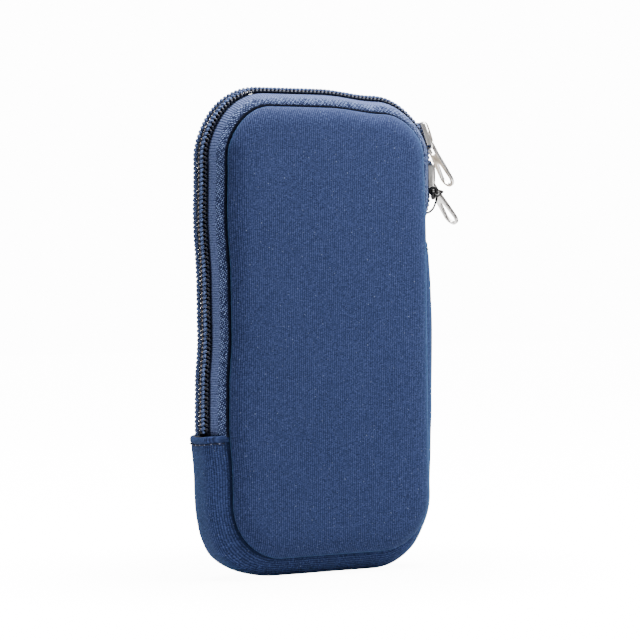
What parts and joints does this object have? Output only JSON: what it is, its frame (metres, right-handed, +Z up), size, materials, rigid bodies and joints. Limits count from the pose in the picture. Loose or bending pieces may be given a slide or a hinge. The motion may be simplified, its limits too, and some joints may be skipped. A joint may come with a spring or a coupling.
{
  "type": "phone pouch",
  "caption": "Soft padded upright pouch with a rounded front panel, a gusset round the bottom and up the right side, and a coil zip closed by two metal sliders with pulls.",
  "frame": {"origin": "centre of the flat crest of the bottom gusset, on which the pouch stands, midway between the panels", "axes": "+Z up along the pouch, -Y out of the front panel, +X to the side that carries the zip sliders"},
  "size_m": [0.1098, 0.026, 0.1747],
  "materials": {
    "cover_navy": "matte, fine knit",
    "gusset_navy": "matte, fine knit",
    "foam_grey": "matte closed-cell foam",
    "lining_black": "matte short-pile knit",
    "tape_blue": "matte twill",
    "coil_navy": "satin monofilament",
    "thread_blue": "matte thread",
    "thread_pale": "matte thread",
    "binding_black": "matte tape",
    "nickel": "polished nickel plate",
    "cord_black": "matte cord"
  },
  "bodies": {
    "pouch": {"back_cover": "cover_navy", "back_foam": "foam_grey", "back_lining": "lining_black", "back_tape": "tape_blue", "back_coil": "coil_navy", "back_coil_thread": "thread_blue", "back_binding": "binding_black", "gusset_cover": "gusset_navy", "gusset_foam": "foam_grey", "gusset_lining": "lining_black", "gusset_binding": "binding_black", "left_hem": "gusset_navy", "right_hem": "gusset_navy", "left_hem_stitches": "thread_pale", "right_hem_stitches": "thread_pale", "lower_front_cover": "cover_navy", "lower_front_foam": "foam_grey", "lower_front_lining": "lining_black"},
    "flap": {"front_cover": "cover_navy", "front_foam": "foam_grey", "front_lining": "lining_black", "front_tape": "tape_blue", "front_coil": "coil_navy", "front_coil_thread": "thread_blue", "front_binding": "binding_black"},
    "upper_runner": {"upper_slider": "nickel"},
    "lower_runner": {"lower_slider": "nickel", "tie_knot": "cord_black", "tie_loop": "cord_black"},
    "upper_tab": {"upper_pull": "nickel"},
    "lower_tab": {"lower_pull": "nickel"}
  },
  "joints": [
    {"name": "flap_fold", "type": "hinge", "parent": "pouch", "child": "flap", "pos_m": [0.0048, -0.013, 0.0855], "axis": [0.7786, 0, 0.6276], "range_deg": [0, 50], "deforming": ["front_coil", "front_coil_thread"]},
    {"name": "lower_slider_travel", "type": "slide", "parent": "pouch", "child": "lower_runner", "axis": [0, 0, -1], "range_m": [0, 0.006], "deforming": ["front_coil", "back_coil"]},
    {"name": "upper_slider_travel", "type": "hinge", "parent": "pouch", "child": "upper_runner", "pos_m": [0.0235, 0, 0.1506], "axis": [0, -1, 0], "range_deg": [0, 52], "deforming": ["front_coil", "back_coil"]},
    {"name": "upper_pull_swing", "type": "hinge", "parent": "upper_runner", "child": "upper_tab", "pos_m": [0.04947, 0, 0.15643], "axis": [0, -1, 0], "range_deg": [0, 115]},
    {"name": "lower_pull_swing", "type": "hinge", "parent": "lower_runner", "child": "lower_tab", "pos_m": [0.0499, 0, 0.1414], "axis": [0, -1, 0], "range_deg": [0, 30], "deforming": ["tie_loop"]}
  ]
}
